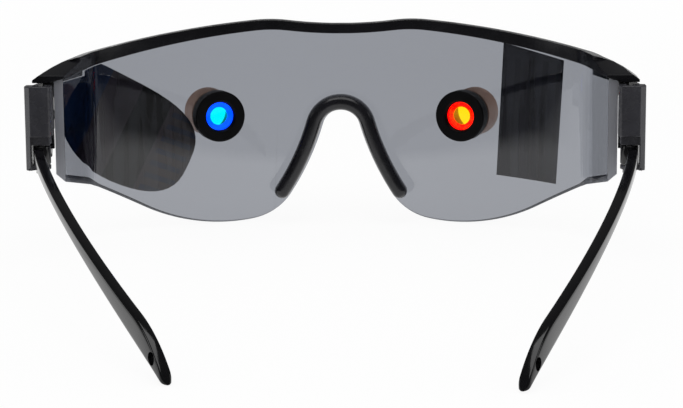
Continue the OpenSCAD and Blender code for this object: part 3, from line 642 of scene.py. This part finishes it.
def tableGlow(tree, place):
    # how bright the table is in reflections: beyond the glasses, and close round them
    apart = addNode(tree, "SeparateXYZ", None, {"Vector": place})
    beyond = addNode(tree, "MapRange", {"From Min": stage["brightFrom"], "From Max": stage["brightTo"],
                                        "To Min": stage["dim"]}, {"Value": apart.outputs["Y"]})
    squashed = addNode(tree, "VectorMath", {1: stage["closeShape"]}, {0: place}, operation="MULTIPLY")
    beside = addNode(tree, "VectorMath", None, {0: squashed.outputs["Vector"]}, operation="LENGTH")
    close = addNode(tree, "MapRange", {"From Min": stage["closeFrom"], "From Max": stage["closeTo"],
                                       "To Min": stage["dim"]}, {"Value": beside.outputs["Value"]})
    shown = addNode(tree, "Math", None, {0: beyond.outputs["Result"], 1: close.outputs["Result"]},
                    operation="MAXIMUM")
    return shown.outputs["Value"]


def paperSweep():
    # matt paper: near the glasses it takes a share of real shading, so that their shadow shows
    material, tree = newMaterial("white paper sweep")
    place = addNode(tree, "TexCoord").outputs["Object"]
    rays, white = whiteRays(tree)
    light = addNode(tree, "MapRange", {"To Max": 1}, {"Value": white, "To Min": tableGlow(tree, place)})
    glow = addNode(tree, "Emission", None, {"Strength": light.outputs["Result"]})
    paper = addNode(tree, "BsdfDiffuse", {"Color": linear(stage["floorColour"])})
    lit = addNode(tree, "Math", None, {0: white, 1: rays.outputs["Is Glossy Ray"]}, operation="MAXIMUM")
    away = addNode(tree, "VectorMath", None, {0: place}, operation="LENGTH")
    plain = addNode(tree, "MapRange", {"From Min": stage["fadeFrom"], "From Max": stage["fadeTo"],
                                       "To Min": 1 - stage["shadowShare"], "To Max": 1},
                    {"Value": away.outputs["Value"]})
    share = addNode(tree, "Math", None, {0: lit.outputs["Value"], 1: plain.outputs["Result"]},
                    operation="MULTIPLY")
    surface = addNode(tree, "MixShader", None, {"Fac": share.outputs["Value"]})
    tree.links.new(paper.outputs["BSDF"], surface.inputs[1])
    tree.links.new(glow.outputs["Emission"], surface.inputs[2])
    addNode(tree, "OutputMaterial", None, {"Surface": surface.outputs["Shader"]})
    return material


def buildFloor():
    half = stage["floorSize"] / 2
    corners = [(-half, -half, 0), (half, -half, 0), (half, half, 0), (-half, half, 0)]
    mesh = bpy.data.meshes.new("floor")
    mesh.from_pydata(corners, [], [(0, 1, 2, 3)])
    mesh.materials.append(paperSweep())
    floor = bpy.data.objects.new("floor", mesh)
    scene.collection.objects.link(floor)


def tentRound(tree, way):
    # how bright the walls are, from beyond the glasses (0) to behind the camera (1), and how steeply
    # the ray rises
    apart = addNode(tree, "SeparateXYZ", None, {"Vector": way})
    level = addNode(tree, "CombineXYZ", None, {"X": apart.outputs["X"], "Y": apart.outputs["Y"]})
    unit = addNode(tree, "VectorMath", None, {0: level.outputs["Vector"]}, operation="NORMALIZE")
    facing = addNode(tree, "SeparateXYZ", None, {"Vector": unit.outputs["Vector"]})
    turn = addNode(tree, "MapRange", {"From Min": -1, "From Max": 1}, {"Value": facing.outputs["Y"]})
    ramp = addNode(tree, "ValToRGB", None, {"Fac": turn.outputs["Result"]})
    setStops(ramp, [(place, (shown, shown, shown, 1)) for place, shown in stage["round"]])
    return ramp.outputs["Color"], apart.outputs["Z"]


def buildTent():
    world = bpy.data.worlds.new("white tent")
    scene.world = world
    world.use_nodes = True
    tree = world.node_tree
    tree.nodes.clear()
    rays, white = whiteRays(tree)
    shown, rise = tentRound(tree, addNode(tree, "TexCoord").outputs["Generated"])
    above = addNode(tree, "MapRange", {"From Min": stage["horizon"][0], "From Max": stage["horizon"][1],
                                       "To Max": stage["ceiling"]}, {"Value": rise, "To Min": shown})
    gloss = addNode(tree, "MapRange", {"To Min": stage["roomLevel"]},
                    {"Value": rays.outputs["Is Glossy Ray"], "To Max": above.outputs["Result"]})
    level = addNode(tree, "MapRange", {"To Max": 1},
                    {"Value": white, "To Min": gloss.outputs["Result"]})
    tent = addNode(tree, "Background", None, {"Strength": level.outputs["Result"]})
    addNode(tree, "OutputWorld", None, {"Surface": tent.outputs["Background"]})


# Softboxes, in metres and watts, all turned toward the middle of the glasses
lampsAim = (0, 0, 0.03)
lamps = {
    "top softbox": {"at": (0, 0.15, 0.9), "size": (0.8, 0.8), "watts": 3.5},
    "left strip": {"at": (0.62, 0.12, 0.16), "size": (0.12, 0.5), "watts": 0.35},
    "right strip": {"at": (-0.62, 0.12, 0.16), "size": (0.12, 0.5), "watts": 0.35},
}


def buildLamps():
    for name, plan in lamps.items():
        data = bpy.data.lights.new(name, "AREA")
        data.shape = "RECTANGLE"
        data.size, data.size_y = plan["size"]
        data.energy = plan["watts"]
        lamp = bpy.data.objects.new(name, data)
        lamp.location = plan["at"]
        toward = Vector(lampsAim) - Vector(plan["at"])
        lamp.rotation_euler = toward.to_track_quat("-Z", "Y").to_euler()
        lamp.visible_camera = False
        lamp.visible_transmission = False
        scene.collection.objects.link(lamp)


# The camera stands on the wearer's side and a little higher, in metres and degrees from the middle of
# the hinge line, which shows at aim. The focal length, aim and image are in pixels.
cameraPlan = {"distance": 0.520, "elevation": 10.999, "sideways": -2.219, "roll": -0.491,
              "focal": 2168.6, "aim": (334.9, 124.9), "image": (683, 408), "sensorMm": 36}


def buildCamera():
    plan = cameraPlan
    high, aside, roll = (math.radians(plan[key]) for key in ("elevation", "sideways", "roll"))
    away = Vector((math.cos(high) * math.sin(aside), math.cos(high) * math.cos(aside), math.sin(high)))
    ahead = -away
    level = ahead.cross(Vector((0, 0, 1))).normalized()
    upright = level.cross(ahead)
    right = level * math.cos(roll) + upright * math.sin(roll)
    up = upright * math.cos(roll) - level * math.sin(roll)
    # Turn from the hinge line to the middle of the picture
    offX = (plan["aim"][0] - plan["image"][0] / 2) / plan["focal"]
    offY = (plan["aim"][1] - plan["image"][1] / 2) / plan["focal"]
    view = (ahead - right * offX + up * offY).normalized()
    right = view.cross(up).normalized()
    up = right.cross(view)
    data = bpy.data.cameras.new("camera")
    data.sensor_width = plan["sensorMm"]
    data.lens = plan["focal"] * data.sensor_width / plan["image"][0]
    camera = bpy.data.objects.new("camera", data)
    turn = Matrix((right, up, -view)).transposed()
    camera.matrix_world = Matrix.Translation(hingeLine + away * plan["distance"]) @ turn.to_4x4()
    scene.collection.objects.link(camera)
    scene.camera = camera


buildFloor()
buildTent()
buildLamps()
buildCamera()
scene.view_settings.view_transform = "Standard"
print("stage, light and camera ready")
